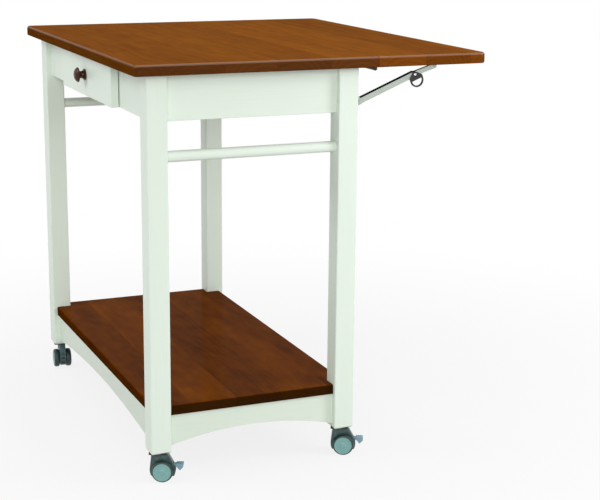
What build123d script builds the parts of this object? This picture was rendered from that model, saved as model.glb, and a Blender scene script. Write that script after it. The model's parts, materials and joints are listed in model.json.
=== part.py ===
from build123d import *
import os
from math import acos, atan2, cos, degrees, hypot, radians, sin

# Kitchen island cart: painted frame on four twin-wheel casters, stained worktop with a drop leaf
# held up by folding brackets, a drawer, two towel bars and a low shelf on arched rails.
# Millimetres. +X is the right end, -Y the drawer front, +Y the drop leaf, +Z up from the floor.
# The origin is on the floor under the middle of the worktop with its leaf raised.

# Worktop and drop leaf
worktop_height = 914.0
top_thickness = 24.0
top_width = 962.0
top_depth = 547.0
leaf_depth = 266.0
leaf_gap = 1.0
top_corner_radius = 10.0
leaf_corner_radius = 16.0
top_edge_round = 6.0
under_edge_round = 3.0

# Overhangs of the fixed top past the leg faces
end_overhang = 25.0
front_overhang = 32.0
back_overhang = 35.0

# Legs
leg_size = 46.0
leg_arris = 2.5
leg_foot_chamfer = 3.0
caster_height = 66.0

# Aprons, rails and their tenons
apron_thickness = 18.0
apron_height = 99.0
rail_thickness = 18.0
rail_height = 72.0
rail_arch_rise = 25.0
tenon_thickness = 8.0
tenon_length = 12.0
tenon_shoulder = 10.0
tenon_gap = 0.2
board_arris = 1.5

# Towel bars
bar_radius = 12.0
bar_drop = 174.5
bar_socket_depth = 12.0
bar_fit = 0.1

# Shelf
shelf_underside = 149.0
shelf_thickness = 22.0
shelf_inset = 9.5
shelf_edge_round = 4.0
shelf_notch_gap = 0.5

# Corner blocks under the top
block_height = 45.0
block_width = 26.0
block_leg_gap = 1.5

# Drawer
drawer_front_width = 424.0
drawer_front_thickness = 18.0
drawer_front_reveal = 3.0
drawer_front_round = 3.0
drawer_seat_gap = 2.0
opening_width = 394.0
opening_height = 66.0
drawer_back_clearance = 44.4
drawer_box_clearance = 3.0
drawer_side_thickness = 12.0
drawer_bottom_thickness = 6.0
drawer_bottom_lift = 6.0
drawer_groove_depth = 5.0
drawer_groove_gap = 0.15
support_thickness = 18.0
support_height = 80.0

# Drawer slides
slide_width = 13.0
slide_height = 34.0
slide_back_clearance = 21.6
slide_sheet = 1.5
slide_flange = 9.0
runner_flange = 7.0
slide_clearance = 0.8

# Drawer knob
knob_radius = 17.5
knob_rose_radius = 13.0
knob_neck_radius = 8.0
knob_projection = 26.0
knob_rose_height = 3.0
knob_cap_height = 10.0
knob_flat = 3.0
knob_rim_round = 1.0
knob_rim_height = 3.0
knob_neck_lift = 1.0
knob_crown_share = 0.6
knob_crown_drop = 1.8
knob_curve_steps = 5
knob_screw_radius = 2.0
knob_screw_head_radius = 4.5
knob_screw_head_height = 2.5
knob_screw_head_chamfer = 0.8
knob_screw_bite = 14.0
screw_hole_gap = 0.2

# Leaf hinges
hinge_count = 3
hinge_length = 48.0
hinge_plate_reach = 30.0
hinge_plate_thickness = 2.0
hinge_axis_drop = 4.5
hinge_barrel_radius = 4.2
hinge_pin_radius = 1.9
hinge_end_inset = 17.0
knuckle_gap = 0.3
running_gap = 0.05

# Folding leaf brackets
bracket_leg_inset = 30.0
bracket_pivot_out = 14.0
bracket_pivot_drop = 78.4
lower_arm_length = 143.3
lower_arm_rise_deg = 22.3
folded_knuckle_out = 32.0
foot_pivot_drop = 8.0
leaf_fold_deg = 90.0
lower_arm_width = 15.0
lower_arm_height = 12.0
upper_arm_width = 9.0
upper_arm_height = 10.0
arm_sheet = 1.5
arm_layer_gap = 0.5
base_plate_width = 24.0
base_plate_thickness = 2.0
base_plate_above = 22.0
base_plate_below = 18.0
base_nose_radius = 6.0
base_ear_inset = 4.0
pivot_radius = 2.5
pivot_head_radius = 4.0
pivot_head_height = 1.2
foot_plate_width = 22.0
foot_plate_length = 44.0
foot_nose_radius = 4.5
foot_pivot_radius = 2.0
foot_pivot_head_radius = 3.0
foot_pivot_head_height = 0.6
arm_open_length = 84.0
pull_thickness = 2.6
pull_reach = 30.0
pull_width = 32.0
pull_rim = 3.6
pull_plate_depth = 13.0

# Casters
wheel_radius = 24.0
wheel_width = 14.0
wheel_disc_radius = 20.0
wheel_dish = 1.2
wheel_edge_round = 5.0
wheel_edge_steps = 2
wheel_hub_radius = 7.0
wheel_boss_flat = 4.5
wheel_inner_rise = 3.0
wheel_face_wall = 4.0
wheel_gap = 0.6
caster_trail = 9.0
hood_width = 16.0
hood_radius = 28.5
hood_floor = 10.5
hood_edge_chamfer = 1.2
hood_top_front = 15.0
hood_top_rear = 20.0
neck_radius = 10.0
swivel_gap = 0.4
swivel_plate_size = 40.0
swivel_plate_thickness = 2.5
swivel_plate_corner = 4.0
swivel_stem_radius = 5.5
swivel_stem_length = 16.0
axle_radius = 3.0
axle_end_gap = 1.0
brake_pivot_reach = 20.0
brake_pivot_rise = 8.0
brake_pivot_radius = 2.0
brake_boss_radius = 4.4
brake_pedal_start = 30.0
brake_pedal_end = 46.0
brake_pedal_width = 17.0
brake_pedal_top = 15.0
brake_pedal_depth = 15.0
brake_pedal_corner = 1.2
brake_pedal_lean = 1.0
brake_arm_height = 6.0
brake_pocket_width = 10.4
brake_pocket_top = 17.0
brake_pocket_bottom = -2.0
brake_pocket_depth = 16.0
brake_side_gap = 0.4
vent_width = 10.0
vent_depth = 6.0
vent_upper_height = 3.5
vent_upper_rise = 6.5
vent_lower_height = 5.5
vent_lower_rise = -5.0

# How far a cut runs past the face it opens, and a joined lump runs into its neighbour
cut_past = 1.0
sink = 1.0

# Direction in which each caster trails, in degrees from +X
caster_heading = {"front_right": 66.0, "back_right": 66.0, "front_left": -7.0, "back_left": 38.0}
braked_casters = ("front_right", "back_right")

# Levels and lines worked out from the sizes above
top_underside = worktop_height - top_thickness
y_top_front = -(top_depth + leaf_gap + leaf_depth) / 2
y_top_back = y_top_front + top_depth
y_leaf_joint = y_top_back + leaf_gap
y_leaf_end = y_leaf_joint + leaf_depth
x_leg_out = top_width / 2 - end_overhang
y_leg_front = y_top_front + front_overhang
y_leg_back = y_top_back - back_overhang
x_leg = x_leg_out - leg_size / 2
y_leg = {"front": y_leg_front + leg_size / 2, "back": y_leg_back - leg_size / 2}
x_side = {"left": -1, "right": 1}
y_side = {"front": -1, "back": 1}
apron_floor = top_underside - apron_height
rail_floor = shelf_underside - rail_height
bar_level = top_underside - bar_drop
y_hinge = (y_top_back + y_leaf_joint) / 2
z_hinge = top_underside - hinge_axis_drop


def block(x0, x1, y0, y1, z0, z1):
    """Box between two opposite corners."""
    centre = Pos((x0 + x1) / 2, (y0 + y1) / 2, (z0 + z1) / 2)
    return centre * Box(abs(x1 - x0), abs(y1 - y0), abs(z1 - z0))


def rod(start, end, radius):
    """Round bar between two points."""
    axis = Vector(*end) - Vector(*start)
    return Solid.make_cylinder(radius, axis.length, Plane(Vector(*start), z_dir=axis.normalized()))


def yz_sheet(sketch, x0, x1):
    """Outline drawn in Y and Z, made solid from x0 to x1."""
    plane = Plane(origin=(min(x0, x1), 0, 0), x_dir=(0, 1, 0), z_dir=(1, 0, 0))
    return extrude(plane * sketch, abs(x1 - x0))


def save(node, shape):
    """Write one node, as a single solid or as a group of separate solids."""
    solids = shape if isinstance(shape, list) else [shape]
    solids = [piece for entry in solids for piece in entry.solids()]
    export_step(solids[0] if len(solids) == 1 else Compound(children=solids), f"parts/{node}.step")


def worktop():
    """Fixed top: rounded on its three free sides, square at the leaf joint."""
    outline = Pos(0, (y_top_front + y_top_back) / 2) * Rectangle(top_width, top_depth)
    outline = fillet(outline.vertices().sort_by(Axis.Y)[:2], top_corner_radius)
    board = Pos(0, 0, top_underside) * extrude(outline, top_thickness)
    return round_free_edges(board, y_top_back)


def drop_leaf():
    """Hinged leaf: rounded on its three free sides, square at the joint with the fixed top."""
    outline = Pos(0, (y_leaf_joint + y_leaf_end) / 2) * Rectangle(top_width, leaf_depth)
    outline = fillet(outline.vertices().sort_by(Axis.Y)[-2:], leaf_corner_radius)
    board = Pos(0, 0, top_underside) * extrude(outline, top_thickness)
    return round_free_edges(board, y_leaf_joint)


def round_free_edges(board, y_joint):
    """Round the top and bottom edges of a board, except those along the leaf joint."""
    for end, radius in ((-1, top_edge_round), (0, under_edge_round)):
        face = board.faces().sort_by(Axis.Z)[end]
        free = [edge for edge in face.edges() if abs(edge.center().Y - y_joint) > leaf_gap / 2]
        board = fillet(free, radius)
    return board


def leg(end, side):
    """Square leg with mortises for aprons and rails and a socket for the towel bar."""
    x_centre, y_centre = x_side[end] * x_leg, y_leg[side]
    height = top_underside - caster_height
    post = Pos(0, 0, caster_height + height / 2) * Box(leg_size, leg_size, height)
    post = chamfer(post.faces().sort_by(Axis.Z)[0].edges(), leg_foot_chamfer)
    post = fillet(post.edges().filter_by(Axis.Z), leg_arris)
    post = Pos(x_centre, y_centre) * post
    inward_x, inward_y = -x_side[end], -y_side[side]
    half = tenon_thickness / 2 + tenon_gap
    mouth = leg_size / 2 + cut_past
    bottom = leg_size / 2 - tenon_length - tenon_gap
    for floor, board_height in ((apron_floor, apron_height), (rail_floor, rail_height)):
        low = floor + tenon_shoulder - tenon_gap
        high = floor + board_height - tenon_shoulder + tenon_gap
        post -= block(x_centre + inward_x * bottom, x_centre + inward_x * mouth,
                      y_centre - half, y_centre + half, low, high)
        post -= block(x_centre - half, x_centre + half,
                      y_centre + inward_y * bottom, y_centre + inward_y * mouth, low, high)
    socket_bottom = y_centre + inward_y * (leg_size / 2 - bar_socket_depth)
    socket_start = (x_centre, socket_bottom, bar_level)
    socket_end = (x_centre, y_centre + inward_y * mouth, bar_level)
    return post - rod(socket_start, socket_end, bar_radius + bar_fit)


def tenoned_board(length, thickness, floor, height):
    """Board along X about the origin, with a tenon at each end that enters a leg."""
    board = Pos(0, 0, floor + height / 2) * Box(length, thickness, height)
    tenon_span = length + 2 * tenon_length
    board += Pos(0, 0, floor + height / 2) * Box(tenon_span, tenon_thickness, height - 2 * tenon_shoulder)
    return board


def apron(length):
    """Plain apron board under the top."""
    board = tenoned_board(length, apron_thickness, apron_floor, apron_height)
    lower = [edge for edge in board.faces().sort_by(Axis.Z)[0].edges() if edge.length > length / 2]
    return fillet(lower, board_arris)


def arched_rail(length):
    """Lower rail whose under edge rises in one arch between the legs."""
    board = tenoned_board(length, rail_thickness, rail_floor, rail_height)
    left, right = (-length / 2, rail_floor), (length / 2, rail_floor)
    crown = (0, rail_floor + rail_arch_rise)
    arch = make_face([ThreePointArc(left, crown, right), Line(right, left)])
    cutter = Plane.XZ * arch
    return board - extrude(cutter, rail_thickness, both=True)


def side_length():
    """Clear length between the front and back legs."""
    return y_leg_back - y_leg_front - 2 * leg_size


def front_length():
    """Clear length between the left and right legs."""
    return 2 * x_leg_out - 2 * leg_size


def front_apron():
    """Front apron with the drawer's opening cut through it."""
    board = apron(front_length())
    centre = apron_floor + apron_height / 2
    return board - Pos(0, 0, centre) * Box(opening_width, 2 * apron_thickness, opening_height)


def along_y(shape):
    """Turn a board that runs along X to run along Y."""
    return Rot(0, 0, 90) * shape


def y_middle():
    """Middle of the leg frame from front to back."""
    return (y_leg_front + y_leg_back) / 2


def towel_bar(end):
    """Round bar between the front and back legs of one end."""
    x = x_side[end] * x_leg
    reach = side_length() / 2 + bar_socket_depth
    return rod((x, y_middle() - reach, bar_level), (x, y_middle() + reach, bar_level), bar_radius)


def shelf():
    """Shelf board notched round the four legs, resting on the rails."""
    half_x = x_leg_out - shelf_inset
    board = block(-half_x, half_x, y_leg_front + shelf_inset, y_leg_back - shelf_inset,
                  shelf_underside, shelf_underside + shelf_thickness)
    board = fillet(board.faces().sort_by(Axis.Z)[-1].edges(), shelf_edge_round)
    notch = leg_size + 2 * shelf_notch_gap
    for end in x_side:
        for side in y_side:
            post = Box(notch, notch, 4 * shelf_thickness)
            board -= Pos(x_side[end] * x_leg, y_leg[side], shelf_underside) * post
    return board


def corner_block(end, side):
    """Diagonal block across one corner of the apron frame, clear of the leg."""
    leg_past_apron = leg_size - (leg_size + apron_thickness) / 2
    near = 2 * leg_past_apron + block_leg_gap
    far = near + block_width
    outline = make_face(Polyline((near, 0), (far, 0), (0, far), (0, near), close=True))
    brace = extrude(outline, block_height)
    inner = (leg_size + apron_thickness) / 2
    x_inner = x_leg_out - inner
    y_inner = y_leg_front + inner if side == "front" else y_leg_back - inner
    brace = Pos(0, 0, top_underside - block_height) * brace
    if end == "right":
        brace = mirror(brace, Plane.YZ)
    if side == "back":
        brace = mirror(brace, Plane.XZ)
    return Pos(x_side[end] * x_inner, y_inner) * brace


# Drawer

y_apron_face = y_leg_front + (leg_size - apron_thickness) / 2
y_apron_back = y_apron_face + apron_thickness
y_back_apron_inner = y_leg_back - (leg_size + apron_thickness) / 2
y_drawer_seat = y_apron_face - drawer_seat_gap
y_drawer_face = y_drawer_seat - drawer_front_thickness
opening_middle = apron_floor + apron_height / 2
box_half_width = opening_width / 2 - slide_width
box_floor = opening_middle - opening_height / 2 + drawer_box_clearance
box_top = opening_middle + opening_height / 2 - drawer_box_clearance
y_box_back = y_back_apron_inner - drawer_back_clearance


def drawer_groove():
    """Space that the drawer's bottom panel takes, with the fit of its grooves."""
    half = box_half_width - drawer_side_thickness + drawer_groove_depth
    low = box_floor + drawer_bottom_lift
    return block(-half - drawer_groove_gap, half + drawer_groove_gap,
                 y_drawer_seat - drawer_groove_depth - drawer_groove_gap,
                 y_box_back - drawer_side_thickness + drawer_groove_depth + drawer_groove_gap,
                 low - drawer_groove_gap, low + drawer_bottom_thickness + drawer_groove_gap)


def drawer_front():
    """Overlay front, grooved for the bottom panel and bored for the knob's screw."""
    board = block(-drawer_front_width / 2, drawer_front_width / 2, y_drawer_face, y_drawer_seat,
                  apron_floor, top_underside - drawer_front_reveal)
    board = fillet(board.faces().sort_by(Axis.Y)[0].edges(), drawer_front_round)
    bore = rod((0, y_drawer_face - cut_past, opening_middle), (0, y_drawer_seat + cut_past, opening_middle),
               knob_screw_radius + screw_hole_gap)
    return board - bore - drawer_groove()


def drawer_side(end):
    """Side of the drawer box, grooved for the bottom panel."""
    outer = x_side[end] * box_half_width
    inner = x_side[end] * (box_half_width - drawer_side_thickness)
    return block(inner, outer, y_drawer_seat, y_box_back, box_floor, box_top) - drawer_groove()


def drawer_back():
    """Back of the drawer box, between its sides."""
    half = box_half_width - drawer_side_thickness
    board = block(-half, half, y_box_back - drawer_side_thickness, y_box_back, box_floor, box_top)
    return board - drawer_groove()


def drawer_bottom():
    """Bottom panel held in the grooves."""
    half = box_half_width - drawer_side_thickness + drawer_groove_depth
    low = box_floor + drawer_bottom_lift
    return block(-half, half, y_drawer_seat - drawer_groove_depth,
                 y_box_back - drawer_side_thickness + drawer_groove_depth, low, low + drawer_bottom_thickness)


def drawer_support(end):
    """Board from the front apron to the back apron that carries one slide."""
    inner = x_side[end] * opening_width / 2
    outer = x_side[end] * (opening_width / 2 + support_thickness)
    low = opening_middle - support_height / 2
    return block(inner, outer, y_apron_back, y_back_apron_inner, low, low + support_height)


def channel(x_web, x_flange, height):
    """Sheet channel along Y: a web at x_web with two flanges that reach to x_flange."""
    half = height / 2
    y0, y1 = y_apron_back, y_box_back - slide_back_clearance
    outer = block(x_web, x_flange, y0, y1, opening_middle - half, opening_middle + half)
    toward = 1 if x_flange > x_web else -1
    hollow = block(x_web + toward * slide_sheet, x_flange + toward * cut_past, y0 - cut_past, y1 + cut_past,
                   opening_middle - half + slide_sheet, opening_middle + half - slide_sheet)
    return outer - hollow


def slide_channel(end):
    """Fixed channel of one drawer slide, on its support."""
    sign = x_side[end]
    web = sign * opening_width / 2
    return channel(web, web - sign * slide_flange, slide_height)


def slide_runner(end):
    """Sliding channel on the drawer's side, nested in the fixed one."""
    sign = x_side[end]
    web = sign * box_half_width
    inner_height = slide_height - 2 * (slide_sheet + slide_clearance)
    return channel(web, web + sign * (slide_sheet + runner_flange), inner_height)


def turned_curve(start, middle, end):
    """Points along one curve of the turned profile, close enough to look round."""
    curve = ThreePointArc(start, middle, end)
    return [curve @ (step / knob_curve_steps) for step in range(knob_curve_steps + 1)]


def drawer_knob():
    """Turned mushroom knob, bored for its screw."""
    rim = knob_projection - knob_cap_height
    rose = (knob_rose_radius, knob_rose_height)
    neck = (knob_neck_radius, (knob_rose_height + rim) / 2 - knob_neck_lift)
    rim_low = (knob_radius - knob_rim_round, rim)
    rim_out = (knob_radius, rim + knob_rim_height / 2)
    rim_high = (knob_radius - knob_rim_round, rim + knob_rim_height)
    crown = (knob_radius * knob_crown_share, knob_projection - knob_crown_drop)
    tip = (knob_flat, knob_projection)
    profile = Polyline((0, knob_projection), (0, 0), (knob_rose_radius, 0),
                       *turned_curve(rose, neck, rim_low), rim_out,
                       *turned_curve(rim_high, crown, tip), close=True)
    turned = revolve(make_face(profile), Axis.Y)
    placed = Pos(0, y_drawer_face, opening_middle) * (Rot(0, 0, 180) * turned)
    bore = rod((0, y_drawer_face + cut_past, opening_middle),
               (0, y_drawer_face - knob_screw_bite, opening_middle), knob_screw_radius)
    return placed - bore


def knob_screw():
    """Screw from inside the drawer into the knob."""
    seat = (0, y_drawer_seat, opening_middle)
    tip = (0, y_drawer_face - knob_screw_bite, opening_middle)
    crown = (0, y_drawer_seat + knob_screw_head_height, opening_middle)
    head = rod(seat, crown, knob_screw_head_radius)
    head = chamfer(head.edges().filter_by(GeomType.CIRCLE).sort_by(Axis.Y)[-1], knob_screw_head_chamfer)
    return head + rod(seat, tip, knob_screw_radius)


# Leaf hinges

def hinge_places():
    """Middle of each hinge along the joint."""
    reach = top_width / 2 - hinge_end_inset - hinge_length / 2
    return [reach * (2 * index / (hinge_count - 1) - 1) for index in range(hinge_count)]


def hinge_plate(x_centre, outward, knuckles):
    """One plate of a hinge under the boards, with its own knuckles round the pin."""
    x0, x1 = x_centre - hinge_length / 2, x_centre + hinge_length / 2
    clear = hinge_barrel_radius + 2 * knuckle_gap
    z0 = top_underside - hinge_plate_thickness
    plate = block(x0, x1, y_hinge + outward * clear, y_hinge + outward * hinge_plate_reach, z0, top_underside)
    for start, end in knuckles:
        a, b = x0 + start, x0 + end
        barrel = rod((a, y_hinge, z_hinge), (b, y_hinge, z_hinge), hinge_barrel_radius)
        web_start, web_end = y_hinge + outward * leaf_gap / 2, y_hinge + outward * (clear + sink)
        barrel += block(a, b, web_start, web_end, z0, top_underside)
        plate += barrel
    bore_start, bore_end = (x0 - cut_past, y_hinge, z_hinge), (x1 + cut_past, y_hinge, z_hinge)
    return plate - rod(bore_start, bore_end, hinge_pin_radius + running_gap)


def top_hinge_plate(x_centre):
    """Hinge plate under the fixed top, with the two outer knuckles."""
    third = hinge_length / 3
    return hinge_plate(x_centre, -1, ((0, third - knuckle_gap), (2 * third + knuckle_gap, hinge_length)))


def leaf_hinge_plate(x_centre):
    """Hinge plate under the leaf, with the middle knuckle."""
    third = hinge_length / 3
    return hinge_plate(x_centre, 1, ((third + knuckle_gap, 2 * third - knuckle_gap),))


def hinge_pin(x_centre):
    """Pin through the three knuckles of one hinge."""
    start = (x_centre - hinge_length / 2, y_hinge, z_hinge)
    return rod(start, (x_centre + hinge_length / 2, y_hinge, z_hinge), hinge_pin_radius)


# Folding brackets: A is the pivot on the leg, K the knuckle, B the pivot on the leaf

a_pivot = (y_leg_back + bracket_pivot_out, top_underside - bracket_pivot_drop)
knuckle = (a_pivot[0] + lower_arm_length * cos(radians(lower_arm_rise_deg)),
           a_pivot[1] + lower_arm_length * sin(radians(lower_arm_rise_deg)))
folded_swing = acos((folded_knuckle_out - bracket_pivot_out) / lower_arm_length)
folded_knuckle = (a_pivot[0] + lower_arm_length * cos(folded_swing),
                  a_pivot[1] - lower_arm_length * sin(folded_swing))


def foot_reach():
    """Distance of B from the hinge, so that the upper arm fits both raised and folded."""
    below = top_underside - foot_pivot_drop - z_hinge
    raised = (knuckle[0] - y_hinge, knuckle[1] - z_hinge - below)
    folded = (z_hinge - folded_knuckle[1], folded_knuckle[0] - y_hinge - below)
    gap = raised[0] ** 2 + raised[1] ** 2 - folded[0] ** 2 - folded[1] ** 2
    return gap / (2 * (raised[0] - folded[0]))


b_pivot = (y_hinge + foot_reach(), top_underside - foot_pivot_drop)
upper_arm_length = hypot(b_pivot[0] - knuckle[0], b_pivot[1] - knuckle[1])
upper_arm_rise_deg = degrees(atan2(b_pivot[1] - knuckle[1], b_pivot[0] - knuckle[0]))


def bracket_x(end):
    """Middle plane of one bracket."""
    return x_side[end] * (x_leg_out - bracket_leg_inset)


def place_arm(profile, origin, rise_deg):
    """Outline drawn along an arm from its pivot, moved to that pivot and tilted."""
    return Pos(origin[0], origin[1]) * Rot(0, 0, rise_deg) * profile


def strap_outline(length, height):
    """Straight strap with round ends, from its first pivot to its second."""
    return Pos(length / 2, 0) * SlotCenterToCenter(length, height)


def bracket_base(end):
    """Plate on the leg with two ears that carry the lower arm's pivot."""
    middle = bracket_x(end)
    half = base_plate_width / 2
    base = block(middle - half, middle + half, y_leg_back, y_leg_back + base_plate_thickness,
                 a_pivot[1] - base_plate_below, a_pivot[1] + base_plate_above)
    foot = y_leg_back + base_plate_thickness / 2
    foot_low = (foot, a_pivot[1] - base_plate_below + base_ear_inset)
    foot_high = (foot, a_pivot[1] + base_plate_above - base_ear_inset)
    nose = Pos(*a_pivot) * Circle(base_nose_radius)
    ear = make_hull(nose.edges() + Polyline(foot_low, foot_high).edges())
    ear -= Pos(*a_pivot) * Circle(pivot_radius)
    inner = lower_arm_width / 2 + arm_layer_gap
    for side in (-1, 1):
        base += yz_sheet(ear, middle + side * inner, middle + side * (inner + arm_sheet))
    return base


def base_pivot(end):
    """Riveted pin through the base's ears and the lower arm."""
    middle = bracket_x(end)
    half = lower_arm_width / 2 + arm_layer_gap + arm_sheet
    pin = rod((middle - half, *a_pivot), (middle + half, *a_pivot), pivot_radius)
    for side in (-1, 1):
        start, stop = middle + side * half, middle + side * (half + pivot_head_height)
        pin += rod((start, *a_pivot), (stop, *a_pivot), pivot_head_radius)
    return pin


def lower_arm(end):
    """Channel arm from the leg, open on top, its far half open below to let the upper arm fold in."""
    middle = bracket_x(end)
    half = lower_arm_width / 2
    wall = strap_outline(lower_arm_length, lower_arm_height) - Circle(pivot_radius + running_gap)
    wall = place_arm(wall, a_pivot, lower_arm_rise_deg)
    arm = yz_sheet(wall, middle - half, middle - half + arm_sheet)
    arm += yz_sheet(wall, middle + half - arm_sheet, middle + half)
    web_length = lower_arm_length - arm_open_length
    web = Pos(web_length / 2, (arm_sheet - lower_arm_height) / 2) * Rectangle(web_length, arm_sheet)
    arm += yz_sheet(place_arm(web, a_pivot, lower_arm_rise_deg), middle - half, middle + half)
    return arm


def upper_arm(end):
    """Narrow channel arm from the knuckle to the foot under the leaf."""
    middle = bracket_x(end)
    half = upper_arm_width / 2
    wall = strap_outline(upper_arm_length, upper_arm_height)
    wall -= Pos(upper_arm_length, 0) * Circle(foot_pivot_radius + running_gap)
    wall = place_arm(wall, knuckle, upper_arm_rise_deg)
    arm = yz_sheet(wall, middle - half, middle - half + arm_sheet)
    arm += yz_sheet(wall, middle + half - arm_sheet, middle + half)
    web_end = upper_arm_length - 2 * foot_nose_radius
    web = Pos(web_end / 2, (upper_arm_height - arm_sheet) / 2) * Rectangle(web_end, arm_sheet)
    arm += yz_sheet(place_arm(web, knuckle, upper_arm_rise_deg), middle - half, middle + half)
    return arm


def bracket_foot(end):
    """Plate under the leaf with one lug that carries the upper arm."""
    middle = bracket_x(end)
    half = foot_plate_width / 2
    z0 = top_underside - base_plate_thickness
    foot = block(middle - half, middle + half, b_pivot[0] - foot_plate_length / 2,
                 b_pivot[0] + foot_plate_length / 2, z0, top_underside)
    lug = Pos(*b_pivot) * Circle(foot_nose_radius)
    lug_middle = Pos(b_pivot[0], (b_pivot[1] + top_underside) / 2)
    lug += lug_middle * Rectangle(2 * foot_nose_radius, foot_pivot_drop)
    lug -= Pos(*b_pivot) * Circle(foot_pivot_radius)
    lug_half = upper_arm_width / 2 - arm_sheet - arm_layer_gap
    return foot + yz_sheet(lug, middle - lug_half, middle + lug_half)


def foot_pivot(end):
    """Riveted pin through the foot's lug and the upper arm."""
    middle = bracket_x(end)
    half = upper_arm_width / 2 + running_gap
    pin = rod((middle - half, *b_pivot), (middle + half, *b_pivot), foot_pivot_radius)
    for side in (-1, 1):
        start, stop = middle + side * half, middle + side * (half + foot_pivot_head_height)
        pin += rod((start, *b_pivot), (stop, *b_pivot), foot_pivot_head_radius)
    return pin


def arm_pull(end):
    """Flat casting on the knuckle with a D-shaped finger ring below it."""
    middle = bracket_x(end)
    ring_radius = pull_width / 2
    ring_middle = ring_radius - pull_reach
    ring = Pos(0, ring_middle) * Circle(ring_radius)
    nose = Circle(lower_arm_height / 2)
    shoulder = Polyline((-ring_radius, -pull_plate_depth / 2), (ring_radius, -pull_plate_depth / 2))
    outer = make_hull(ring.edges() + nose.edges() + shoulder.edges())
    hole = Pos(0, ring_middle) * Circle(ring_radius - pull_rim)
    keep = Pos(0, -pull_plate_depth - ring_radius) * Rectangle(2 * pull_width, 2 * ring_radius)
    plate = place_arm(outer - (hole & keep), knuckle, lower_arm_rise_deg)
    near = middle + x_side[end] * lower_arm_width / 2
    return yz_sheet(plate, near, near + x_side[end] * pull_thickness)


# Casters, drawn with the swivel axis at the origin and the wheels trailing along +X

axle_point = (caster_trail, wheel_radius)
brake_pivot = (caster_trail + brake_pivot_reach, wheel_radius + brake_pivot_rise)


def xz_sheet(sketch, half_width):
    """Outline drawn in X and Z, made solid equally to both sides of the middle plane."""
    return extrude(Plane.XZ * sketch, half_width, both=True)


def caster_plate():
    """Plate under the leg with the swivel stem."""
    half = swivel_plate_size / 2
    base = caster_height - swivel_plate_thickness
    plate = block(-half, half, -half, half, base, caster_height)
    plate = fillet(plate.edges().filter_by(Axis.Z), swivel_plate_corner)
    return plate + rod((0, 0, base - swivel_stem_length), (0, 0, base), swivel_stem_radius)


def caster_hood(braked):
    """Moulded body between the wheels: a web up to the plate, a neck and slots or a brake pocket."""
    neck_top = caster_height - swivel_plate_thickness - swivel_gap
    round_part = Pos(*axle_point) * Circle(hood_radius)
    shoulder = Polyline((-hood_top_front, neck_top), (hood_top_rear, neck_top))
    web = make_hull(round_part.edges() + shoulder.edges())
    web -= Pos(caster_trail, hood_floor - hood_radius) * Rectangle(4 * hood_radius, 2 * hood_radius)
    hood = xz_sheet(web, hood_width / 2)
    rim = [edge for face in hood.faces().filter_by(GeomType.CYLINDER) for edge in face.edges()
           if edge.geom_type == GeomType.CIRCLE]
    hood = chamfer(rim, hood_edge_chamfer)
    hood += rod((0, 0, 2 * wheel_radius + wheel_gap), (0, 0, neck_top), neck_radius)
    hood -= rod((0, 0, caster_height - swivel_plate_thickness - swivel_stem_length - swivel_gap),
                (0, 0, caster_height), swivel_stem_radius + running_gap)
    axle_start, axle_end = (caster_trail, -hood_width, wheel_radius), (caster_trail, hood_width, wheel_radius)
    hood -= rod(axle_start, axle_end, axle_radius)
    rear = caster_trail + hood_radius
    if braked:
        half = brake_pocket_width / 2
        hood -= block(rear - brake_pocket_depth, rear + cut_past, -half, half,
                      wheel_radius + brake_pocket_bottom, wheel_radius + brake_pocket_top)
        pin_end = half + sink
        pin = rod((brake_pivot[0], -pin_end, brake_pivot[1]), (brake_pivot[0], pin_end, brake_pivot[1]),
                  brake_pivot_radius)
        return hood + pin
    for rise, height in ((vent_upper_rise, vent_upper_height), (vent_lower_rise, vent_lower_height)):
        low = wheel_radius + rise - height / 2
        hood -= block(rear - vent_depth, rear + cut_past, -vent_width / 2, vent_width / 2, low, low + height)
    return hood


def caster_axle():
    """Steel axle through the hood, carrying a wheel at each end."""
    reach = hood_width / 2 + wheel_gap + wheel_width - wheel_face_wall - axle_end_gap
    return rod((caster_trail, -reach, wheel_radius), (caster_trail, reach, wheel_radius), axle_radius)


def tread_corner(start_radius, side_level, toward):
    """Points of one rounded tread corner, from the wheel's side out to the tread."""
    rise = wheel_radius - start_radius
    points = []
    for step in range(wheel_edge_steps + 1):
        turn = radians(90 * step / wheel_edge_steps)
        inset = wheel_edge_round * (1 - cos(turn))
        points.append((start_radius + rise * sin(turn), side_level + toward * inset))
    return points


def caster_wheel(side):
    """Moulded wheel: rounded tread, dished face and a hub bored from inside for the axle."""
    inner = hood_width / 2 + wheel_gap
    outer = inner + wheel_width
    bore = axle_radius + running_gap
    back = outer - wheel_face_wall
    face = outer - wheel_dish
    tread = tread_corner(wheel_radius - wheel_inner_rise, inner, 1)
    tread += reversed(tread_corner(wheel_disc_radius, outer, -1))
    profile = Polyline((0, outer), (0, back), (bore, back), (bore, inner), *tread,
                       (wheel_disc_radius - wheel_dish, face), (wheel_hub_radius, face),
                       (wheel_boss_flat, outer), close=True)
    wheel = revolve(make_face(profile), Axis.Y)
    if side == "inner":
        wheel = mirror(wheel, Plane.XZ)
    return Pos(caster_trail, 0, wheel_radius) * wheel


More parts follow.
